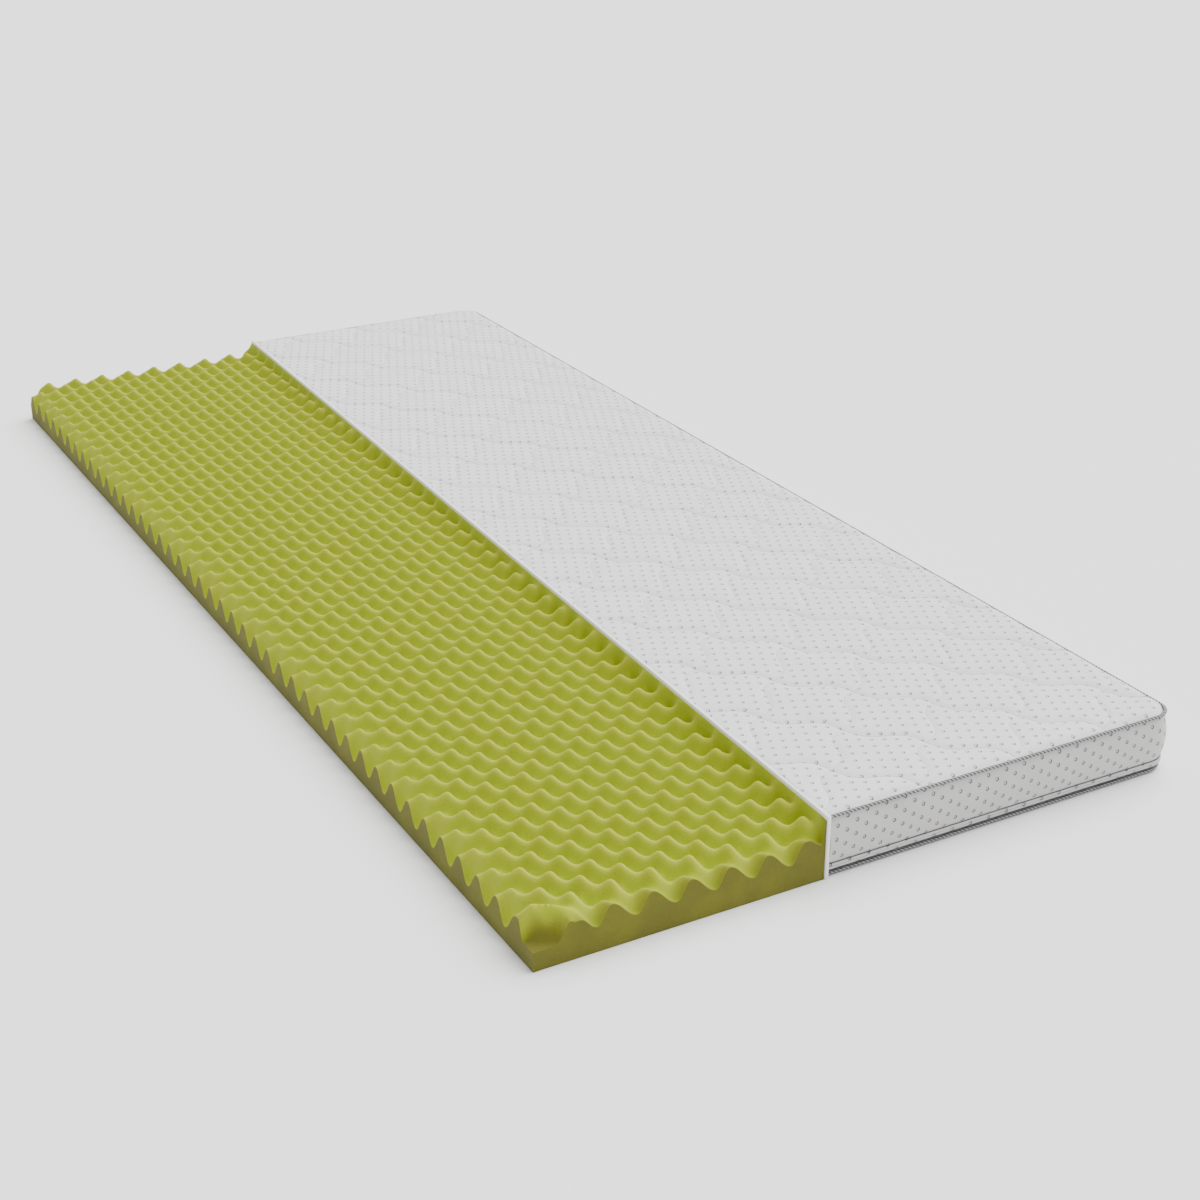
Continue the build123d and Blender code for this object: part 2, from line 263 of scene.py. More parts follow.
def covered_grid(depth, gap, step):
    """A plan grid over the covered half: arrays of x and y, one row for each y."""
    rows = sample_rows(depth, step)
    left = cut_x(rows) + gap
    right = right_edge(rows, depth)
    across = np.linspace(0, 1, int((HALF_W - depth - CUT_FRONT) / step) + 1)
    x = left[:, None] + (right - left)[:, None] * across[None]
    y = np.repeat(rows[:, None], len(across), 1)
    return x, y


def slab_piece(name, x, y, low, high, body, nodes, sharp=45.0):
    """A closed layer between two height fields on one plan grid."""
    rows, columns = x.shape
    top = np.stack([x, y, high], -1).reshape(-1, 3)
    bottom = np.stack([x, y, low], -1).reshape(-1, 3)
    count = rows * columns
    index = np.arange(count).reshape(rows, columns)
    quads = np.stack([index[:-1, :-1], index[:-1, 1:], index[1:, 1:], index[1:, :-1]], -1).reshape(-1, 4)
    rim = np.concatenate([index[0, :], index[1:, -1], index[-1, -2::-1], index[-2:0:-1, 0]])
    following = np.roll(rim, -1)
    wall = np.stack([rim, following, following + count, rim + count], -1)
    faces = np.concatenate([quads, quads[:, ::-1] + count, wall]).tolist()
    return add_piece(name, np.concatenate([top, bottom]), faces, body, nodes, sharp)


# ---------------------------------------------------------------- foam

PITCH_X = 49.5
PITCH_Y = 46.1
PEAK_X = -438.3
PEAK_Y = -970.3
MID = 49.5
SWELL = 12.9
SKEW = 5.9
LEAN_X = 1.5
LEAN_Y = 1.8
COVERED_STEP = 4.0
SHARPEN = 3.6
SHARPEN_GAIN = 0.2
LEFT_FIN = -958.0
LEFT_FALL = 0.57
LEFT_LOW = 20.0
LEFT_HIGH = 47.0
LEFT_REACH = 13.0
FRONT_FIN = -404.5
FRONT_FALL = 0.65
FRONT_LOW = 32.0
FRONT_HIGH = 55.0
FRONT_REACH = 14.0
SHOULDER = 77.4
CUT_LIFT = 10.0
SHELF = 24.0
HOLLOW_SHAPE = 0.62
HOLLOW_NEAR = 12.0
HOLLOW_FAR = 31.0


def soft_step(t):
    """0 to 1 with level ends."""
    t = np.clip(t, 0, 1)
    return t * t * (3 - 2 * t)


def waves(x, y):
    """The bare convolution: staggered peaks joined by ridges that run one way."""
    a = TURN * (x - PEAK_X) / PITCH_X
    b = TURN * (y - PEAK_Y) / PITCH_Y
    z = MID + SWELL * np.cos(a) * np.cos(b) - SKEW * np.sin(a) * np.sin(b)
    return z + LEAN_X * (np.cos(2 * a) + np.sin(2 * a)) + LEAN_Y * (np.sin(2 * b) - np.cos(2 * b))


def ridge(x, y):
    """How far a point stands above its surroundings, measured across the ridges."""
    r = SHARPEN
    return waves(x, y) - (waves(x + r, y + r) + waves(x - r, y - r)) / 2


def fins(t, start, pitch, fall, low, high):
    """Height of a cut edge between fins. It falls over one share of the pitch and rises over the rest."""
    phase = np.mod((t - start) / pitch, 1.0)
    turn = np.where(phase < fall, phase / fall, 1 + (phase - fall) / (1 - fall)) / 2
    return low + (high - low) * (0.5 + 0.5 * np.cos(TURN * turn))


def foam_height(x, y):
    """Height of the foam's surface, with its cut edges, its hollow corner and its lift at the cover's cut."""
    wander = 0.7 * rolling(x * 0.021 + y * 0.013, 1) + 0.5 * rolling(y * 0.017 - x * 0.011, 2)
    z = waves(x, y) + SHARPEN_GAIN * np.maximum(ridge(x, y) - 0.4, 0) + wander
    from_left = x - FOAM_LEFT
    from_front = y + HALF_L - FOAM_BARE_DEPTH
    left = fins(y, LEFT_FIN, PITCH_Y, LEFT_FALL, LEFT_LOW, LEFT_HIGH)
    z += (left - z) * np.exp(-(from_left / LEFT_REACH) ** 2)
    front = fins(x, FRONT_FIN, PITCH_X, FRONT_FALL, FRONT_LOW, FRONT_HIGH)
    z += (front - z) * np.exp(-(from_front / FRONT_REACH) ** 2)
    from_corner = np.hypot(from_left * HOLLOW_SHAPE, from_front)
    around = from_left / np.maximum(from_left + from_front, 1e-3)
    rim = np.interp(around, [0.0, 0.33, 0.57, 0.77, 0.96, 1.0], [49.0, 62.0, 59.5, 57.0, 49.0, 47.0])
    beyond = from_corner - HOLLOW_FAR - 1.5
    z += (rim - z) * np.exp(-(beyond / np.where(beyond < 0, 5.0, 7.5)) ** 2)
    keep = soft_step((from_corner - HOLLOW_NEAR) / (HOLLOW_FAR - HOLLOW_NEAR))
    z = SHELF + (z - SHELF) * keep
    z = np.minimum(z, FOAM_TOP - 0.2)
    past_cut = x - cut_x(y)
    z += CUT_LIFT * np.exp(-(past_cut / np.where(past_cut < 0, 24.0, 9.0)) ** 2)
    z = np.minimum(z, SHOULDER)
    return z + (SHOULDER - z) * np.exp(-(past_cut / np.where(past_cut < 0, 3.6, 9.0)) ** 2)


def make_foam():
    """The foam block: a height field, set back under the cover where the bottom seam and zip run."""
    step = 2.4
    rows = sample_rows(FOAM_DEPTH, step)
    reach = HALF_L - FOAM_DEPTH
    bare_rows = rows * (HALF_L - FOAM_BARE_DEPTH) / reach
    bare_edge = cut_x(bare_rows) - 0.6
    near_cut = 1 - np.array([9.0, 7.2, 5.8, 4.6, 3.6, 2.7, 1.9, 1.2, 0.6, 0.0]) / (CUT_BACK - FOAM_LEFT)
    even = np.linspace(0, near_cut[0], int((CUT_BACK - FOAM_LEFT) / step))
    bare_across = np.concatenate([even, near_cut[1:]])
    bare_x = FOAM_LEFT + (bare_edge - FOAM_LEFT)[:, None] * bare_across[None]
    bare_y = np.repeat(bare_rows[:, None], len(bare_across), 1)
    left = cut_x(rows) - 0.3
    right = right_edge(rows, FOAM_DEPTH)
    across = np.linspace(0, 1, int((HALF_W - CUT_FRONT) / COVERED_STEP) + 1)
    covered_x = left[:, None] + (right - left)[:, None] * across[None]
    covered_y = np.repeat(rows[:, None], len(across), 1)
    x = np.concatenate([bare_x, covered_x], 1)
    y = np.concatenate([bare_y, covered_y], 1)
    z = foam_height(x, y)
    height, width = x.shape
    bare = len(bare_across)
    points = [np.stack([x, y, z], -1).reshape(-1, 3)]
    index = np.arange(height * width).reshape(height, width)
    quads = np.stack([index[:-1, :-1], index[:-1, 1:], index[1:, 1:], index[1:, :-1]], -1)
    faces = quads.reshape(-1, 4).tolist()

    rim_row = np.concatenate([np.zeros(width, int), np.arange(1, height),
                              np.full(width - 1, height - 1), np.arange(height - 2, 0, -1)])
    rim_column = np.concatenate([np.arange(width), np.full(height - 1, width - 1),
                                 np.arange(width - 2, -1, -1), np.zeros(height - 2, int)])
    rim_x = x[rim_row, rim_column]
    rim_y = y[rim_row, rim_column]
    covered = rim_column >= bare
    pivot_x = np.minimum(rim_x, CORNER_X)
    pivot_y = np.clip(rim_y, -CORNER_Y, CORNER_Y)
    away_x = rim_x - pivot_x
    away_y = rim_y - pivot_y
    size = np.maximum(np.hypot(away_x, away_y), 1e-6)
    levels = []
    rim_z = z[rim_row, rim_column]
    below_rim = ((FOAM_DEPTH, rim_z - 1.6, rim_z - 1.6), (FOAM_DEPTH, np.minimum(rim_z - 3.0, 20.0), 26.0),
                 (16.2, 13.0, 13.0), (16.2, 0.0, FOAM_BOTTOM))
    for depth, bare_z, covered_z in below_rim:
        shift = np.where(covered, (depth - FOAM_DEPTH) / size, 0)
        low_z = np.where(covered, covered_z, bare_z)
        levels.append(np.stack([rim_x - away_x * shift, rim_y - away_y * shift, low_z], -1))
    ring_size = len(rim_x)
    base = height * width
    previous = index[rim_row, rim_column]
    for level in levels:
        points.append(level)
        current = base + np.arange(ring_size)
        walls = np.stack([previous, np.roll(previous, -1), np.roll(current, -1), current], -1)
        faces += walls.tolist()
        previous = current
        base += ring_size
    lowest = dict(zip(zip(rim_row.tolist(), rim_column.tolist()), previous.tolist()))
    lowest_points = levels[-1]

    # Underside in strips, bare and covered, with a small step between them along the cut
    seam = {}
    extra = []
    for column, low_z in ((bare - 1, 0.0), (bare, FOAM_BOTTOM)):
        for row in range(1, height - 1):
            seam[(row, column)] = base + len(extra)
            extra.append((x[row, column], y[row, column], low_z))
        for row in (0, height - 1):
            seam[(row, column)] = lowest[(row, column)]
    points.append(np.array(extra))
    for row in range(height - 1):
        faces.append([seam[(row, bare - 1)], seam[(row, bare)],
                      seam[(row + 1, bare)], seam[(row + 1, bare - 1)]])
    left_side = [lowest[(row, 0)] for row in range(height)]
    right_side = [lowest[(row, width - 1)] for row in range(height)]
    for row in range(1, height - 2):
        faces.append([left_side[row], seam[(row, bare - 1)], seam[(row + 1, bare - 1)], left_side[row + 1]])
        faces.append([seam[(row, bare)], right_side[row], right_side[row + 1], seam[(row + 1, bare)]])
    for outer, inner in ((0, 1), (height - 1, height - 2)):
        front = [lowest[(outer, column)] for column in range(bare)]
        faces.append(front + [seam[(inner, bare - 1)], left_side[inner]])
        front = [lowest[(outer, column)] for column in range(bare, width)]
        faces.append(front + [right_side[inner], seam[(inner, bare)]])
    foam = add_piece("foam_core_convoluted", np.concatenate(points), faces, "core",
                     ["foam_core"], 60.0)
    # Painted highlight: a weight per point that paints the foam's crests paler, standing in for light
    # catching the ridges.
    crest_highlight = np.zeros(len(foam.data.vertices))
    crest_highlight[:height * width] = np.clip((ridge(x, y).ravel() - 0.9) / 1.2, 0, 1)
    foam.data.attributes.new("crest_highlight", "FLOAT", "POINT").data.foreach_set("value", crest_highlight)
    # Painted shade: a weight per point that darkens the foam's sawn sides, the top along its front and left
    # edges, and the hollow corner, standing in for the shade on these faces.
    side_and_hollow_shade = np.ones(len(foam.data.vertices))
    in_front = y + HALF_L - FOAM_BARE_DEPTH
    hollow = 1 - soft_step((np.hypot((x - FOAM_LEFT) * HOLLOW_SHAPE, in_front) - 18.0) / 16.0)
    near_front = 0.55 * np.exp(-(in_front / 13.0) ** 2)
    near_left = 0.3 * np.exp(-((x - FOAM_LEFT) / 10.0) ** 2)
    side_and_hollow_shade[:height * width] = np.maximum(np.maximum(near_front, near_left), 0.95 * hollow).ravel()
    foam.data.attributes.new("side_and_hollow_shade", "FLOAT", "POINT").data.foreach_set("value", side_and_hollow_shade)
    return foam


# ---------------------------------------------------------------- quilting

QUILT_X = 128.2
QUILT_Y = -608.0
QUILT_HALF_X = 69.5
QUILT_HALF_Y = 75.1
QUILT_SPAN = math.hypot(QUILT_HALF_X, QUILT_HALF_Y)
QUILT_SWAY = 0.081
CREASE_REACH = 4.2
EDGE_ROLL = 15.0
KNIT_THICK = 1.2
STITCH_PITCH = 3.6


def quilt_lines(x, y):
    """Distances in millimetres from the two families of wavy quilting lines, and the cell puff."""
    along_x = (x - QUILT_X) / QUILT_HALF_X
    along_y = (y - QUILT_Y) / QUILT_HALF_Y
    u = (along_x - along_y) / 2
    v = (along_x + along_y) / 2
    warped_v = v + QUILT_SWAY * np.sin(TURN * u)
    warped_u = u - QUILT_SWAY * np.sin(TURN * v)
    falling = np.abs(warped_v - np.round(warped_v)) * QUILT_SPAN
    rising = np.abs(warped_u - np.round(warped_u)) * QUILT_SPAN
    puff = np.abs(np.sin(math.pi * warped_u) * np.sin(math.pi * warped_v))
    return falling, rising, puff


def quilt_height(x, y):
    """Height of the quilted surface above its lowest crease."""
    falling, rising, puff = quilt_lines(x, y)
    crease = 2.9 * np.exp(-falling / CREASE_REACH) + 1.8 * np.exp(-rising / CREASE_REACH)
    wander = 0.3 * rolling(x * 0.05 + y * 0.03, 3) + 0.3 * rolling(y * 0.045 - x * 0.04, 4)
    return 2.9 - np.minimum(crease, 3.2) + 1.6 * np.sqrt(puff) + wander


def top_surface(x, y):
    """Height of the quilted top. It drops to the piping in front and rolls out over it elsewhere."""
    depth = plan_depth(x, y)
    t = np.clip((depth - PANEL_DEPTH) / EDGE_ROLL, 0, 1)
    ahead = np.clip(-y - CORNER_Y, 0, None) / np.maximum(CORNER - depth, 1e-3)
    front = soft_step(ahead)
    drop = (1.0 + 3.6 * front) * (1 - np.sqrt(1 - (1 - t) ** 2)) - 1.1 * (1 - front) * (1 - t)
    at_cut = np.exp(-np.maximum(x - cut_x(y) - TAPE, 0) / 3.0)
    level = TOP_FACE - 3.7 + quilt_height(x, y) * (0.35 + 0.65 * soft_step(t * 1.2))
    return level - drop - 0.8 * at_cut


def make_panels():
    """The quilted top and the bottom panel, each a fabric skin over wadding."""
    x, y = covered_grid(PANEL_DEPTH, TAPE + 0.3, 2.5)
    surface = top_surface(x, y)
    top = slab_piece("top_panel_quilted_knit", x, y, surface - KNIT_THICK, surface, "cover",
                     ["top_fabric"], 60.0)
    x, y = covered_grid(WADDING_DEPTH, TAPE + 0.3, 9.0)
    t = np.clip((plan_depth(x, y) - WADDING_DEPTH) / EDGE_ROLL, 0, 1)
    under = TOP_FACE - 5.0 - 3.0 * (1 - np.sqrt(1 - (1 - t) ** 2))
    past_cut = x - cut_x(y)
    pinch = np.maximum(SHOULDER - 2.0 - PANEL_LOW, 0) * np.exp(-(past_cut / 14.0) ** 2)
    pinch = np.minimum(pinch, under - SCRIM_HIGH - 1.0)
    wadding = slab_piece("top_panel_wadding", x, y, pinch + SCRIM_HIGH, under, "cover",
                         ["top_wadding"])
    scrim = slab_piece("top_panel_scrim", x, y, pinch + PANEL_LOW, pinch + SCRIM_HIGH - 0.05, "cover",
                       ["top_backing"])
    x, y = covered_grid(BOTTOM_DEPTH, TAPE + 0.3, 6.0)
    lift = 0.12 * (3.4 - quilt_height(x, y))
    below = np.maximum(0.05 + lift, 0.0)
    bottom = slab_piece("bottom_panel_knit", x, y, below, below + BOTTOM_SPLIT - 0.45, "cover",
                        ["bottom_fabric"], 60.0)
    x, y = covered_grid(BOTTOM_DEPTH, TAPE + 0.3, 12.0)
    pad = slab_piece("bottom_panel_wadding", x, y, 0 * x + BOTTOM_SPLIT + 0.15, 0 * x + BOTTOM_HIGH - 0.05,
                     "cover", ["bottom_wadding"])
    return top, wadding, scrim, bottom, pad


# ---------------------------------------------------------------- border band


def bow(z):
    """Depth of the border's outer face at a height."""
    upper = np.clip((z - BOW_Z) / (BORDER_HIGH - BOW_Z), 0, None)
    lower = np.clip((BOW_Z - z) / (BOW_Z - BORDER_LOW), 0, None)
    return BOW_TOP * upper ** 2 + BOW_SEAM * lower ** 2


def border_line(s, heights, out, tuck):
    """The border's face at a distance behind its outer surface, tucked in at its lower seam."""
    z = np.repeat(np.asarray(heights, float)[None], len(s), 0)
    along = np.repeat(s[:, None], len(heights), 1)
    middle = np.sin(math.pi * np.clip((z - BORDER_LOW) / (BORDER_HIGH - BORDER_LOW), 0, 1))
    sway = 0.7 * rolling(along * 0.014 + z * 0.02, 5) * middle
    gather = 0.22 * np.sin(along * 0.31 + 2.0 * rolling(along * 0.02, 6)) * (1 - middle)
    seam = tuck * np.exp(-(z - heights[-1]) / 1.6)
    depth = bow(z) + 0.75 + sway + gather + seam + out
    return np.stack([depth, z], -1)


def make_border():
    """The border band in its two lengths, each a fabric skin over wadding."""
    made = []
    spans = (
        ("zip_side", 0.0, ZIP_EDGE - 0.4, BORDER_LOW),
        ("back", ZIP_EDGE + 0.4, WHOLE_EDGE, BORDER_FOOT),
    )
    for name, start, end, foot in spans:
        s = np.linspace(start, end, int((end - start) / 6.0) + 1)
        span = np.linspace(BORDER_HIGH, BORDER_LOW + 2.0, 17)
        low_end = np.array([BORDER_LOW + 1.0, BORDER_LOW + 0.4])
        heights = np.concatenate([span, low_end])
        if foot < BORDER_LOW:
            heights = np.concatenate([span, np.linspace(BORDER_LOW - 2.0, foot, 5)])
        tuck = 1.1 if foot == BORDER_LOW else 0.0
        outer = border_line(s, heights, 0.0, tuck)
        inner = border_line(s, heights, 1.1, tuck)
        if foot < BORDER_LOW:
            below = np.clip((BORDER_LOW - heights) / (BORDER_LOW - foot), 0, 1)
            settle = (FOOT_DEPTH - BOW_SEAM) * below - (bow(heights) - BOW_SEAM) * (below > 0)
            outer[:, :, 0] += settle
            inner[:, :, 0] += settle
        skin = edge_loft(f"border_{name}_knit", s, outer, inner, "cover",
                         [f"border_fabric_{name}"])
        front = inner.copy()
        front[:, :, 0] += 0.1
        back = inner.copy()
        back[:, :, 0] += 1.6
        fill = edge_loft(f"border_{name}_wadding", s, front, back, "cover",
                         [f"border_wadding_{name}"])
        made += [skin, fill]
    return made


# ---------------------------------------------------------------- piping

TWIST_PITCH = 11.0
TWIST_STEPS = 12
STRAND_SIDES = 6


def rope_strand(name, s, depth, z, helix, radius, turns, phase, nodes):
    """One strand of a twisted cord that follows the edge."""
    angle = TURN * turns * s / s[-1] + phase
    x, y, inward_x, inward_y = edge(s)
    inward = np.stack([inward_x, inward_y, 0 * s], -1)
    up = np.array([0.0, 0.0, 1.0])
    radial = inward * np.cos(angle)[:, None] + up * np.sin(angle)[:, None]
    centre = np.stack([x, y, z], -1) + inward * depth + radial * helix
    ahead = np.gradient(centre, axis=0)
    ahead /= np.linalg.norm(ahead, axis=1)[:, None]
    side = np.cross(ahead, radial)
    side /= np.linalg.norm(side, axis=1)[:, None]
    turn = TURN * np.arange(STRAND_SIDES) / STRAND_SIDES
    ring = (centre[:, None] + radius * (radial[:, None] * np.cos(turn)[None, :, None]
                                        + side[:, None] * np.sin(turn)[None, :, None] * 1.15))
    along = np.repeat(s[:, None], STRAND_SIDES, 1)
    around = np.repeat((turn * radius)[None], len(s), 0)
    uv = np.stack([along, around], -1)
    faces = loft_faces(len(s), STRAND_SIDES)
    return add_piece(name, ring.reshape(-1, 3), faces, "cover", nodes, 60.0, uv.reshape(-1, 2))


def make_piping():
    """Twisted cords in the top and bottom seams, each of two grey and two white strands."""
    made = {}
    cords = (
        ("top", 5.0, box_mm("top_piping_cord")[1].z - 3.0, 3.0, 2.2),
        ("bottom", 7.0, box_mm("bottom_piping_cord")[1].z - 2.6, 2.5, 0.0),
    )
    for name, depth, z, size, tuck in cords:
        turns = WHOLE_EDGE / TWIST_PITCH
        s = np.linspace(0.0, WHOLE_EDGE, int(turns * TWIST_STEPS) + 1)
        inward_y = edge(s)[3]
        sunk = z - tuck * (1 - soft_step(inward_y))
        for k, shade in enumerate(("grey", "white", "grey", "white")):
            label = f"{name}_piping_{shade}_strand_{k // 2 + 1}"
            made[label] = rope_strand(label, s, depth, sunk, size * 0.42, size * 0.38, turns,
                                      k * TURN / 4, [f"{name}_piping_cord"])
    return made


def wavy(line, s, amount, rate, seed):
    """A copy of a (depth, z) line array whose depth wanders a little along s."""
    out = line.copy()
    out[:, :, 0] += amount * rolling(s * rate, seed)[:, None]
    return out


def make_tapes():
    """The piping lips, the zip tapes and the folded flap over the zip."""
    s = np.linspace(0.0, WHOLE_EDGE, int(WHOLE_EDGE / 10.0) + 1)
    low = box_mm("top_piping_lip")[0].z
    outer = lines(s, [(8.35, 77.6), (9.1, 76.4), (9.1, low)])
    inner = lines(s, [(8.75, 77.9), (9.5, 76.6), (9.5, low)])
    top_lip = edge_loft("top_piping_lip_tape", s, outer, inner, "cover", ["top_piping_lip"])

    low, high = box_mm("bottom_piping_lip")
    outer = lines(s, [(BOTTOM_DEPTH, high.z - 0.02), (15.0, high.z - 0.02)])
    inner = lines(s, [(BOTTOM_DEPTH, low.z + 0.02), (15.0, low.z + 0.02)])
    bottom_lip = edge_loft("bottom_piping_lip_tape", s, outer, inner, "cover", ["bottom_piping_lip"])

    s = np.linspace(0.0, ZIP_EDGE, int(ZIP_EDGE / 6.0) + 1)
    outer = lines(s, [(13.25, 8.55), (13.25, 12.0), (7.95, 17.2), (7.95, 22.0)])
    inner = lines(s, [(13.75, 8.55), (13.75, 12.4), (8.45, 17.6), (8.45, 22.0)])
    upper = edge_loft("zip_tape_upper_woven", s, outer, inner, "cover", ["zip_tape_upper"])
    outer = lines(s, [(9.75, 4.0), (13.25, 4.0), (13.25, 6.85)])
    inner = lines(s, [(9.75, 3.52), (13.75, 3.52), (13.75, 6.85)])
    lower = edge_loft("zip_tape_lower_woven", s, outer, inner, "cover", ["zip_tape_lower"])

    # Flap: cloth folded over at its lower edge, stitched along the top and again a little lower
    flap_low = box_mm("zip_flap")[0].z
    outer_line = [(4.6, 17.2), (3.9, 16.6), (3.45, 15.8), (3.3, 14.8), (3.4, 13.9), (3.75, 13.5),
                  (3.4, 13.1), (3.3, 12.0), (3.35, 11.0), (3.7, 10.3), (4.5, flap_low + 0.05),
                  (5.3, 10.3), (5.6, 11.0), (5.6, 13.5), (5.6, 17.2)]
    inner_line = [(4.9, 16.9), (4.3, 16.3), (4.0, 15.6), (3.9, 14.8), (3.95, 14.0), (4.1, 13.5),
                  (3.95, 13.0), (3.9, 12.0), (3.95, 11.2), (4.15, 10.85), (4.5, 10.6),
                  (4.85, 10.85), (5.05, 11.2), (5.05, 13.5), (5.05, 16.9)]
    outer = wavy(lines(s, outer_line), s, 0.22, 0.03, 7)
    inner = wavy(lines(s, inner_line), s, 0.22, 0.03, 7)
    flap = edge_loft("zip_flap_folded_knit", s, outer, inner, "cover", ["zip_flap"], 70.0)
    return (top_lip, bottom_lip, upper, lower), flap


def make_coil(name, low, high, node):
    """A zip coil: a toothed strip, fat and thin by turns."""
    s = np.arange(0.0, COIL_EDGE, 0.9)
    fat = np.where(np.arange(len(s)) % 2 == 0, 1.0, 0.62)
    middle = (low + high) / 2
    reach = (high - low) / 2 * fat
    depth = 12.25
    half = 0.98 * fat
    outer = np.stack([
        np.stack([depth - half * 0.4, middle + reach], -1),
        np.stack([depth - half, middle + 0 * reach], -1),
        np.stack([depth - half * 0.4, middle - reach], -1),
    ], 1)
    inner = np.stack([
        np.stack([depth + half * 0.4, middle + reach], -1),
        np.stack([depth + half, middle + 0 * reach], -1),
        np.stack([depth + half * 0.4, middle - reach], -1),
    ], 1)
    return edge_loft(name, s, outer, inner, "cover", [node], 30.0)


def make_zip():
    """The two coils of the zip chain."""
    upper = box_mm("zip_coil_upper")
    lower = box_mm("zip_coil_lower")
    return (make_coil("zip_coil_upper_teeth", upper[0].z, upper[1].z, "zip_coil_upper"),
            make_coil("zip_coil_lower_teeth", lower[0].z, lower[1].z, "zip_coil_lower"))


def tape_fold(width, foot, top):
    """Outer and inner lines of binding tape folded over an edge, as (x, height) pairs."""
    outer = [(0.0, foot), (0.0, top - 1.2), (0.3, top - 0.45), (1.0, top - 0.08), (width / 2, top),
             (width - 1.0, top - 0.08), (width - 0.3, top - 0.45), (width - 0.02, top - 1.2),
             (width - 0.02, top - 2.6)]
    inner = [(0.6, foot), (0.6, top - 1.3), (0.8, top - 0.85), (1.2, top - 0.68), (width / 2, top - 0.6),
             (width - 1.2, top - 0.68), (width - 0.8, top - 0.85), (width - 0.6, top - 1.3),
             (width - 0.6, top - 2.6)]
    return np.array(outer + inner[::-1])


def make_binding():
    """White tape folded over the cover's cut edges: over the top, up both ends and along the bottom."""
    made = []
    rows = np.linspace(-HALF_L + 1.6, HALF_L - 1.6, int(2 * HALF_L / 4.0))
    left = cut_x(rows)
    tape_top = box_mm("binding_top")[1].z
    foot = tape_top - 5.2
    fold = tape_fold(TAPE, foot, tape_top)
    down = 0.5 * np.clip((np.abs(rows) - HALF_L + 5.0) / 4.0, 0, 1) ** 2
    lift = 0.1 * rolling(rows * 0.03, 8) - down
    points = np.stack([left[:, None] + fold[None, :, 0], rows[:, None] + 0 * fold[None, :, 0],
                       fold[None, :, 1] + lift[:, None]], -1)
    note = np.stack([rows[:, None] + 0 * fold[None, :, 0], fold[None, :, 0] + 0 * rows[:, None]], -1)
    made.append(add_piece("binding_top_tape", points.reshape(-1, 3), loft_faces(len(rows), len(fold)),
                          "cover", ["binding_top"], 60.0, note.reshape(-1, 2)))
    low, high = box_mm("binding_bottom")
    flat = np.array([(0.05, low.z + 0.02), (0.0, 0.8), (0.0, 2.2), (0.05, high.z - 0.1),
                     (BINDING - 0.05, high.z - 0.1), (BINDING - 0.02, 2.2), (BINDING - 0.02, 0.8),
                     (BINDING - 0.05, low.z + 0.02)])
    rows = np.linspace(-HALF_L + 10.0, HALF_L - 10.0, int(2 * HALF_L / 10.0))
    left = cut_x(rows)
    points = np.stack([left[:, None] + flat[None, :, 0], rows[:, None] + 0 * flat[None, :, 0],
                       flat[None, :, 1] + 0 * rows[:, None]], -1)
    note = np.stack([rows[:, None] + 0 * flat[None, :, 0], flat[None, :, 0] + 0 * rows[:, None]], -1)
    made.append(add_piece("binding_bottom_tape", points.reshape(-1, 3), loft_faces(len(rows), len(flat)),
                          "cover", ["binding_bottom"], 60.0, note.reshape(-1, 2)))
    for name, side, start in (("binding_front", -1, CUT_FRONT), ("binding_back", 1, CUT_BACK)):
        heights = np.concatenate([np.linspace(0.1, 5.0, 5), np.linspace(8.0, 76.0, 24),
                                  np.array([77.6, 79.0, 80.2, 81.1, 81.7])])
        face = np.interp(heights, [0.1, 1.5, 79.0, 80.2, 81.1, 81.7], [2.0, 1.0, 1.0, 1.2, 1.7, 2.8])
        fold = tape_fold(TAPE, 0.0, 0.0)
        inward = face[:, None] - fold[None, :, 1]
        inward[:, 0] = BINDING_DEPTH
        inward[:, -1] = BINDING_DEPTH
        x = start + fold[None, :, 0] + 0 * heights[:, None]
        y = side * (HALF_L - inward)
        points = np.stack([x, y, heights[:, None] + 0 * x], -1)
        note = np.stack([heights[:, None] + 0 * x, x - start], -1)
        made.append(add_piece(f"{name}_tape", points.reshape(-1, 3), loft_faces(len(heights), len(fold)),
                              "cover", [name], 60.0, note.reshape(-1, 2)))
    return made


foam = make_foam()
top_panel, top_wadding, top_scrim, bottom_panel, bottom_pad = make_panels()
border = make_border()
piping = make_piping()
tapes, flap = make_tapes()
coils = make_zip()
binding = make_binding()

# ---------------------------------------------------------------- floor and light

floor_mesh = bpy.data.meshes.new("studio_floor")
floor_mesh.from_pydata([(-20, -20, 0), (20, -20, 0), (20, 20, 0), (-20, 20, 0)], [], [(0, 1, 2, 3)])
floor = bpy.data.objects.new("studio_floor", floor_mesh)
floor.location.z = -0.0005
scene.collection.objects.link(floor)

sun_data = bpy.data.lights.new("softbox", "SUN")
sun_data.energy = 6.0
sun_data.angle = math.radians(70.0)
sun = bpy.data.objects.new("softbox", sun_data)
sun.rotation_euler = Vector((-0.62, -0.14, -1.0)).to_track_quat("-Z", "Y").to_euler()
scene.collection.objects.link(sun)
world = bpy.data.worlds.new("studio")
world.use_nodes = True
world.node_tree.nodes["Background"].inputs["Color"].default_value = (1, 1, 1, 1)
world.node_tree.nodes["Background"].inputs["Strength"].default_value = 0.80
scene.world = world


# ---------------------------------------------------------------- materials

TOP_RINGS = ((13.56, -6.92), (-6.71, -15.62))
BORDER_RINGS = ((12.2, -7.9), (14.7, 8.5))
RING = 1.9
SEAM_Z = 17.2
FLAP_RIDGE_Z = 13.5


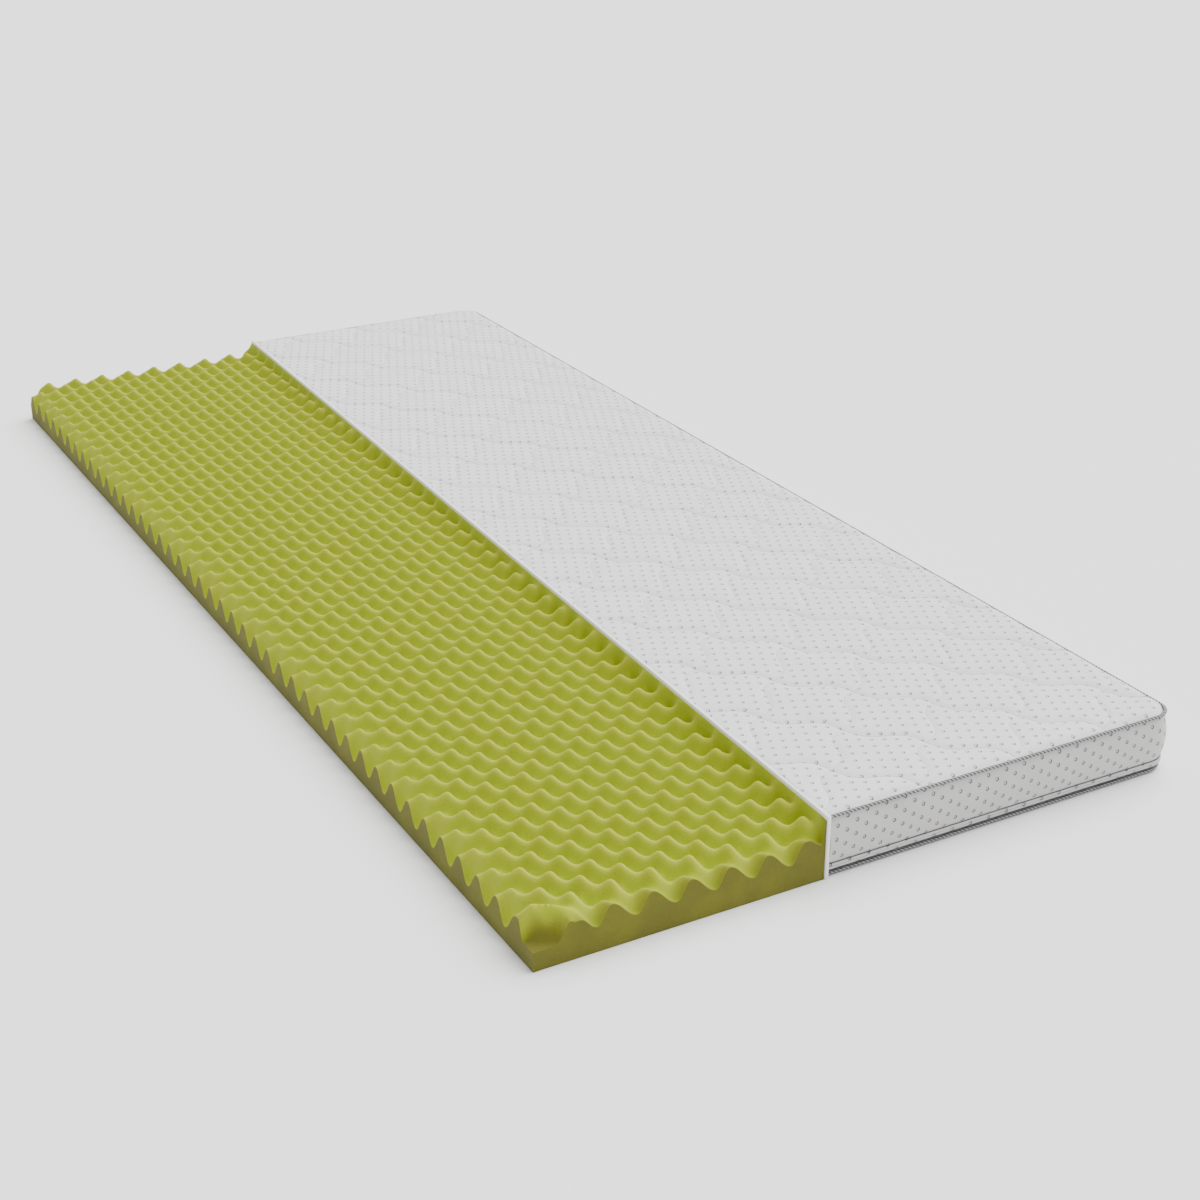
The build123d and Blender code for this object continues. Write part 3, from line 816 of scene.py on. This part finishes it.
class Look:
    """A node material built with short calls. Lengths inside it are in millimetres."""

    def __init__(self, name, roughness=0.9, sheen=0.0, metallic=0.0):
        self.material = bpy.data.materials.new(name)
        self.material.use_nodes = True
        self.tree = self.material.node_tree
        self.shader = self.tree.nodes["Principled BSDF"]
        self.shader.inputs["Roughness"].default_value = roughness
        self.shader.inputs["Metallic"].default_value = metallic
        self.shader.inputs["Sheen Weight"].default_value = sheen
        self.shader.inputs["Sheen Roughness"].default_value = 0.6

    def put(self, socket, value):
        """Links a node output to a socket, or sets a plain value on it."""
        if isinstance(value, bpy.types.NodeSocket):
            self.tree.links.new(value, socket)
        else:
            socket.default_value = value

    def place(self, source="Object"):
        """Where a point is on the piece, in millimetres."""
        coordinates = self.tree.nodes.new("ShaderNodeTexCoord")
        scaled = self.tree.nodes.new("ShaderNodeVectorMath")
        scaled.operation = "SCALE"
        self.put(scaled.inputs[0], coordinates.outputs[source])
        scaled.inputs["Scale"].default_value = 1 / MM
        return scaled.outputs[0]

    def math(self, operation, *values):
        """One Math node."""
        node = self.tree.nodes.new("ShaderNodeMath")
        node.operation = operation
        for socket, value in zip(node.inputs, values):
            self.put(socket, value)
        return node.outputs[0]

    def dot(self, place, direction):
        """How far a place lies along a direction."""
        node = self.tree.nodes.new("ShaderNodeVectorMath")
        node.operation = "DOT_PRODUCT"
        self.put(node.inputs[0], place)
        node.inputs[1].default_value = direction
        return node.outputs["Value"]

    def ramp(self, value, low, high, to_low=0.0, to_high=1.0):
        """A smooth step between two values."""
        node = self.tree.nodes.new("ShaderNodeMapRange")
        node.interpolation_type = "SMOOTHSTEP"
        for socket, entry in zip(node.inputs, (value, low, high, to_low, to_high)):
            self.put(socket, entry)
        return node.outputs[0]

    def noise(self, place, size, detail=2.0):
        """Noise with features of about a given size."""
        node = self.tree.nodes.new("ShaderNodeTexNoise")
        self.put(node.inputs["Vector"], place)
        node.inputs["Scale"].default_value = 1 / size
        node.inputs["Detail"].default_value = detail
        return node.outputs[0]

    def cells(self, place, size):
        """Distance from the middles of cells of about a given size."""
        node = self.tree.nodes.new("ShaderNodeTexVoronoi")
        self.put(node.inputs["Vector"], place)
        node.inputs["Scale"].default_value = 1 / size
        return node.outputs["Distance"]

    def attribute(self, name):
        """A number stored on the mesh."""
        node = self.tree.nodes.new("ShaderNodeAttribute")
        node.attribute_name = name
        return node.outputs["Fac"]

    def mix(self, factor, first, second):
        """A colour between two."""
        node = self.tree.nodes.new("ShaderNodeMix")
        node.data_type = "RGBA"
        self.put(node.inputs[0], factor)
        for socket, colour in ((node.inputs[6], first), (node.inputs[7], second)):
            self.put(socket, colour if isinstance(colour, bpy.types.NodeSocket) else (*colour, 1.0))
        return node.outputs[2]

    def total(self, *terms):
        """The sum of several values."""
        result = terms[0]
        for term in terms[1:]:
            result = self.math("ADD", result, term)
        return result

    def times(self, value, factor):
        """A value times a factor."""
        return self.math("MULTIPLY", value, factor)

    def finish(self, colour, height, roughness=None):
        """Links the colour and a bump height in millimetres, and returns the material."""
        self.put(self.shader.inputs["Base Color"], colour)
        bump = self.tree.nodes.new("ShaderNodeBump")
        bump.inputs["Strength"].default_value = 1.0
        bump.inputs["Distance"].default_value = MM
        self.put(bump.inputs["Height"], height)
        self.put(self.shader.inputs["Normal"], bump.outputs[0])
        if roughness is not None:
            self.put(self.shader.inputs["Roughness"], roughness)
        return self.material


def dress(piece, material):
    """Gives a piece its material."""
    piece.data.materials.clear()
    piece.data.materials.append(material)


def foam_look():
    """Matt lime foam with open cells and painted light: brighter and greener in the low cups as painted
    bounce light, paler on the crests as a painted highlight, and darker and browner on its sawn sides, its
    edges and its hollow corner as painted shade.
    """
    look = Look("lime_foam", 0.95, 0.05)
    place = look.place()
    crest_highlight = look.attribute("crest_highlight")
    side_and_hollow_shade = look.attribute("side_and_hollow_shade")
    cloud = look.noise(place, 60.0, 3.0)
    pores = look.cells(place, 1.1)
    grain = look.noise(place, 2.6, 4.0)
    height = look.dot(place, (0, 0, 1))
    # Painted light: the low cups get a brighter, greener colour than the peaks, standing in for light
    # bouncing around inside them.
    cup_bounce_light = look.mix(look.ramp(height, 34.0, 60.0), (0.370, 0.460, 0.0), (0.345, 0.405, 0.001))
    # Painted highlight: the crests are mixed towards a paler, greyer green.
    with_crest_highlight = look.mix(look.times(look.ramp(crest_highlight, 0.15, 1.0), 0.5), cup_bounce_light, (0.370, 0.400, 0.030))
    # Painted shade: the sides, the edges and the hollow corner are mixed towards a dark olive-brown.
    side = look.mix(look.ramp(side_and_hollow_shade, 0.0, 1.0), with_crest_highlight, (0.108, 0.102, 0.0008))
    worn = look.mix(look.times(look.ramp(cloud, 0.4, 0.7), 0.10), side, (0.330, 0.360, 0.004))
    pitted = look.mix(look.times(look.ramp(grain, 0.45, 0.7), 0.10), worn, (0.180, 0.200, 0.001))
    bump = look.total(look.times(pores, 0.25), look.times(grain, 0.3), look.times(cloud, 0.5))
    return look.finish(pitted, bump)


def lattice_rings(look, along, across, first, second, radius, line, shade_direction):
    """A lattice of small woven rings, each darker towards one side as a painted shade crescent: how much of a
    ring covers each point.
    """
    area = first[0] * second[1] - first[1] * second[0]
    u = look.total(look.times(along, second[1] / area), look.times(across, -second[0] / area))
    v = look.total(look.times(along, -first[1] / area), look.times(across, first[0] / area))
    off_u = look.math("SUBTRACT", u, look.math("ROUND", u))
    off_v = look.math("SUBTRACT", v, look.math("ROUND", v))
    x = look.total(look.times(off_u, first[0]), look.times(off_v, second[0]))
    y = look.total(look.times(off_u, first[1]), look.times(off_v, second[1]))
    away = look.math("SQRT", look.total(look.times(x, x), look.times(y, y)))
    gap = look.math("ABSOLUTE", look.math("SUBTRACT", away, radius))
    # Painted shade: each ring is drawn darker on one side and lighter on the other, standing in for the shade
    # on a raised ring.
    toward_shade = look.total(look.times(x, shade_direction[0]), look.times(y, shade_direction[1]))
    weight = look.ramp(toward_shade, -radius, radius, 0.45, 1.0)
    ring = look.times(look.math("SUBTRACT", 1.0, look.ramp(gap, line * 0.35, line)), weight)
    pit = look.math("SUBTRACT", 1.0, look.ramp(away, 0.0, radius * 1.4))
    return ring, pit


def knit_weave(look, along, across):
    """Height of the knit's fine ribs and loops, in millimetres."""
    rib = look.math("SINE", look.times(along, TURN / 1.3))
    loop = look.math("SINE", look.total(look.times(across, TURN / 1.7), look.times(rib, 0.8)))
    return look.total(look.times(rib, 0.02), look.times(loop, 0.03))


def quilt_stitches_and_crease_shade(look, along, across):
    """The stitching in the quilting lines, drawn wide and mostly unbroken so that it also paints the shade in
    the creases, stronger on the falling lines: how much of it covers each point.
    """
    side_x = look.math("DIVIDE", look.math("SUBTRACT", along, QUILT_X), QUILT_HALF_X)
    side_y = look.math("DIVIDE", look.math("SUBTRACT", across, QUILT_Y), QUILT_HALF_Y)
    u = look.times(look.math("SUBTRACT", side_x, side_y), 0.5)
    v = look.times(look.math("ADD", side_x, side_y), 0.5)
    sway_v = look.times(look.math("SINE", look.times(u, TURN)), QUILT_SWAY)
    sway_u = look.times(look.math("SINE", look.times(v, TURN)), -QUILT_SWAY)
    marks = []
    for across_line, along_line in ((look.math("ADD", v, sway_v), u), (look.math("ADD", u, sway_u), v)):
        off = look.math("SUBTRACT", across_line, look.math("ROUND", across_line))
        away = look.times(look.math("ABSOLUTE", off), QUILT_SPAN)
        thread_and_crease_shade = look.math("SUBTRACT", 1.0, look.ramp(away, 0.35, 1.2))
        beat = look.math("FRACT", look.times(along_line, QUILT_SPAN / STITCH_PITCH))
        dash = look.ramp(look.math("ABSOLUTE", look.math("SUBTRACT", beat, 0.5)), 0.36, 0.46, 1.0, 0.5)
        marks.append(look.times(thread_and_crease_shade, dash))
    # The falling lines are painted darker than the rising ones, as painted shade for their deeper-shaded
    # creases.
    return look.math("MAXIMUM", marks[0], look.times(marks[1], 0.5))


def stitch_gap(look, across, level):
    """How far a point is above or below a sewn line."""
    return look.math("ABSOLUTE", look.math("SUBTRACT", across, level))


def knit_look(name, source, up, rings, line, shade_direction, mark, ground, stitched):
    """The cover's jacquard knit with its woven rings, each with a painted shade crescent, and either its
    quilting lines with painted crease shade or its seam and flap lines with painted shadow.
    """
    look = Look(name, 0.93, 0.10)
    place = look.place(source)
    along = look.dot(place, (1, 0, 0))
    across = look.dot(place, up)
    ring, pit = lattice_rings(look, along, across, *rings, RING, line, shade_direction)
    blotch = look.noise(place, 45.0, 3.0)
    fuzz = look.noise(place, 1.6, 3.0)
    weave = knit_weave(look, along, across)
    cloth = look.mix(look.ramp(blotch, 0.3, 0.7), ground, [c * 0.965 for c in ground])
    cloth = look.mix(look.times(look.ramp(fuzz, 0.4, 0.75), 0.16), cloth, [c * 0.80 for c in ground])
    faded = look.times(ring, look.ramp(fuzz, 0.25, 0.6, 0.65, 1.0))
    cloth = look.mix(faded, cloth, mark)
    bump = look.total(weave, look.times(fuzz, 0.10), look.times(ring, -0.22), look.times(pit, -0.18))
    if stitched:
        thread_and_crease_shade = quilt_stitches_and_crease_shade(look, along, across)
        # Stitching colour and painted crease shade: the quilting lines are mixed towards dark grey.
        cloth = look.mix(look.times(thread_and_crease_shade, 0.55), cloth, (0.24, 0.24, 0.25))
        bump = look.total(bump, look.times(thread_and_crease_shade, -0.30))
    else:
        # Dark line at the seam above the flap and a fainter one along the flap's fold: partly stitching,
        # partly painted shadow in the gap under the border's edge and in the fold's crease.
        seam = look.math("SUBTRACT", 1.0, look.ramp(stitch_gap(look, across, SEAM_Z), 0.35, 0.9))
        fold = look.math("SUBTRACT", 1.0, look.ramp(stitch_gap(look, across, FLAP_RIDGE_Z), 0.1, 0.6))
        cloth = look.mix(look.total(look.times(seam, 0.8), look.times(fold, 0.4)), cloth, (0.06, 0.06, 0.065))
    return look.finish(cloth, bump)


def tape_look(name, colour, shade, source):
    """Woven tape with fine diagonal ribs."""
    look = Look(name, 0.85, 0.08)
    place = look.place(source)
    twill = look.math("SINE", look.times(look.dot(place, (1, 0.8, 0.6)), TURN / 1.1))
    fibre = look.noise(place, 0.7, 3.0)
    cloth = look.mix(look.ramp(twill, -1.0, 1.0), shade, colour)
    return look.finish(cloth, look.total(look.times(twill, 0.03), look.times(fibre, 0.06)))


def fleece_look(name, colour):
    """Matted fibres: wadding or non-woven scrim."""
    look = Look(name, 0.97, 0.15)
    place = look.place()
    mat = look.noise(place, 5.0, 5.0)
    fibre = look.noise(place, 1.1, 4.0)
    cloth = look.mix(look.ramp(mat, 0.3, 0.7), [c * 0.9 for c in colour], colour)
    return look.finish(cloth, look.total(look.times(mat, 0.5), look.times(fibre, 0.2)))


def yarn_look(name, colour, shade):
    """Twisted yarn: fine fibres that run along the strand."""
    look = Look(name, 0.8, 0.15)
    place = look.place("UV")
    twist = look.math("SINE", look.times(look.dot(place, (1.0, 2.2, 0)), TURN / 0.9))
    fleck = look.noise(look.place(), 1.2, 2.0)
    cloth = look.mix(look.times(look.ramp(twist, -1.0, 1.0), 0.8), shade, colour)
    cloth = look.mix(look.times(look.ramp(fleck, 0.45, 0.7), 0.35), cloth, shade)
    return look.finish(cloth, look.times(twist, 0.05))


def nylon_look():
    """Smooth white monofilament."""
    look = Look("zip_nylon", 0.35)
    place = look.place()
    wear = look.noise(place, 6.0, 2.0)
    colour = look.mix(wear, (0.52, 0.52, 0.53), (0.66, 0.66, 0.67))
    return look.finish(colour, look.times(wear, 0.03), look.ramp(wear, 0.3, 0.7, 0.3, 0.45))


def metal_look():
    """Nickel-plated zinc, tumbled, a little worn."""
    look = Look("zip_nickel", 0.3, 0.0, 1.0)
    place = look.place()
    wear = look.noise(place, 3.0, 4.0)
    pits = look.noise(place, 0.5, 2.0)
    colour = look.mix(wear, (0.52, 0.52, 0.54), (0.70, 0.70, 0.72))
    return look.finish(colour, look.times(pits, 0.02), look.ramp(wear, 0.3, 0.7, 0.22, 0.42))


def floor_look():
    """Pale, plain studio floor."""
    look = Look("studio_floor", 0.95)
    place = look.place()
    shade = look.mix(look.noise(place, 900.0, 1.0), (0.93, 0.93, 0.93), (0.95, 0.95, 0.95))
    return look.finish(shade, 0.0)


knit = knit_look("quilted_knit", "Object", (0, 1, 0), TOP_RINGS, 1.15, (0.5, -0.85), (0.05, 0.05, 0.055),
                 (0.76, 0.76, 0.76), True)
# Painted shade: the border band's knit gets a darker ground and darker rings than the top's knit, standing in
# for the shade on the upright band.
border_knit = knit_look("border_knit", "UV", (0, 1, 0), BORDER_RINGS, 1.3, (0.8, -0.6), (0.02, 0.02, 0.022),
                        (0.55, 0.54, 0.53), False)
fleece = fleece_look("white_wadding", (0.85, 0.85, 0.85))
scrim_cloth = fleece_look("white_scrim", (0.80, 0.80, 0.79))
zip_cloth = tape_look("zip_tape_cloth", (0.60, 0.60, 0.60), (0.45, 0.45, 0.45), "UV")
white_tape = tape_look("binding_cloth", (0.93, 0.93, 0.93), (0.82, 0.82, 0.82), "UV")
grey_yarn = yarn_look("grey_yarn", (0.10, 0.10, 0.105), (0.05, 0.05, 0.055))
white_yarn = yarn_look("white_yarn", (0.50, 0.50, 0.50), (0.34, 0.34, 0.34))
nylon = nylon_look()
metal = metal_look()

dress(floor, floor_look())
dress(foam, foam_look())
dress(top_panel, knit)
dress(bottom_panel, knit)
dress(top_scrim, scrim_cloth)
for piece in (top_wadding, bottom_pad, border[1], border[3]):
    dress(piece, fleece)
for piece in (border[0], border[2], flap):
    dress(piece, border_knit)
for key, piece in piping.items():
    dress(piece, grey_yarn if "_grey_" in key else white_yarn)
for piece in tapes:
    dress(piece, zip_cloth)
for piece in coils:
    dress(piece, nylon)
for piece in binding:
    dress(piece, white_tape)
for node in ("zip_slider_body", "zip_pull_tab", "zip_end_stops"):
    dress(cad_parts[node], metal)
